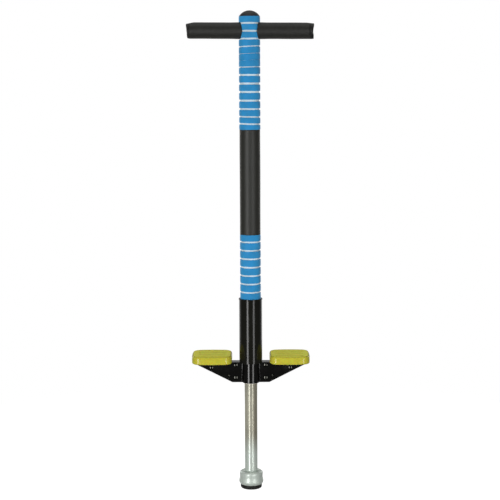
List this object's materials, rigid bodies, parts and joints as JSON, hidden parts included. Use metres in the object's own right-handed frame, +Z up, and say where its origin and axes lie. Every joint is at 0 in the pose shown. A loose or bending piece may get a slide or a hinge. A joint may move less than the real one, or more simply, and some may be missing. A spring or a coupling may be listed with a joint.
{
  "type": "pogo stick",
  "caption": "Child's pogo stick: foam-covered steel tube with a T handlebar, fixed foot pedals on a pressed bracket, and a sprung piston with a rubber tip.",
  "frame": {"origin": "centre of the rubber tip's underside, on the stick's axis", "axes": "+Z up along the stick, +X along the handlebar towards the right grip, -Y the front"},
  "size_m": [0.2486, 0.08, 0.9511],
  "materials": {
    "gloss_black": "gloss moulded",
    "black_paint": "gloss black enamel on pressed steel",
    "blue_foam": "closed-cell EVA foam, fine grain",
    "white_foam": "closed-cell foam core, pale",
    "black_foam": "closed-cell foam, matte",
    "grip_foam": "soft NBR foam, matte",
    "lime_plastic": "glossy moulded lime yellow",
    "zinc": "zinc plated, tarnished towards the top",
    "black_zinc": "blackened steel fasteners",
    "bright_steel": "bare zinc plated steel",
    "spring_steel": "oiled spring wire",
    "black_rubber": "moulded rubber, matte",
    "nylon": "natural nylon"
  },
  "bodies": {
    "frame": {"frame_tube": "black_paint", "lower_bush": "nylon", "rebound_bumper": "black_rubber", "spring": "spring_steel", "spring_top_stop": "nylon", "spring_stop_pin": "bright_steel", "outer_sleeve": "gloss_black", "sleeve_lower_spacer": "nylon", "sleeve_upper_spacer": "nylon", "bracket_front": "black_paint", "bracket_rear": "black_paint", "bracket_bolts": "black_zinc", "bracket_nuts": "black_zinc", "bracket_rivets": "black_zinc", "pedal_left": "lime_plastic", "pedal_right": "lime_plastic", "pedal_screws": "bright_steel", "handlebar_tube": "bright_steel", "handlebar_screw": "bright_steel", "bar_plug_left": "gloss_black", "bar_plug_right": "gloss_black", "grip_left": "grip_foam", "grip_right": "grip_foam", "upper_foam_core": "white_foam", "upper_foam_bands": "blue_foam", "middle_foam": "black_foam", "lower_foam_core": "white_foam", "lower_foam_bands": "blue_foam", "top_cap": "black_rubber"},
    "spring_seat": {"spring_seat": "bright_steel"},
    "piston": {"piston_tube": "zinc", "piston_head": "zinc", "foot_cup": "zinc", "rubber_tip": "black_rubber"}
  },
  "joints": [
    {"name": "piston_slide", "type": "slide", "parent": "frame", "child": "spring_seat", "axis": [0, 0, 1], "range_m": [0, 0.12], "stiffness_N_per_m": 5300, "springref_m": -0.01, "deforming": ["spring"]},
    {"name": "piston_spin", "type": "hinge", "parent": "spring_seat", "child": "piston", "pos_m": [0, 0, 0.15], "axis": [0, 0, 1], "continuous": true}
  ]
}
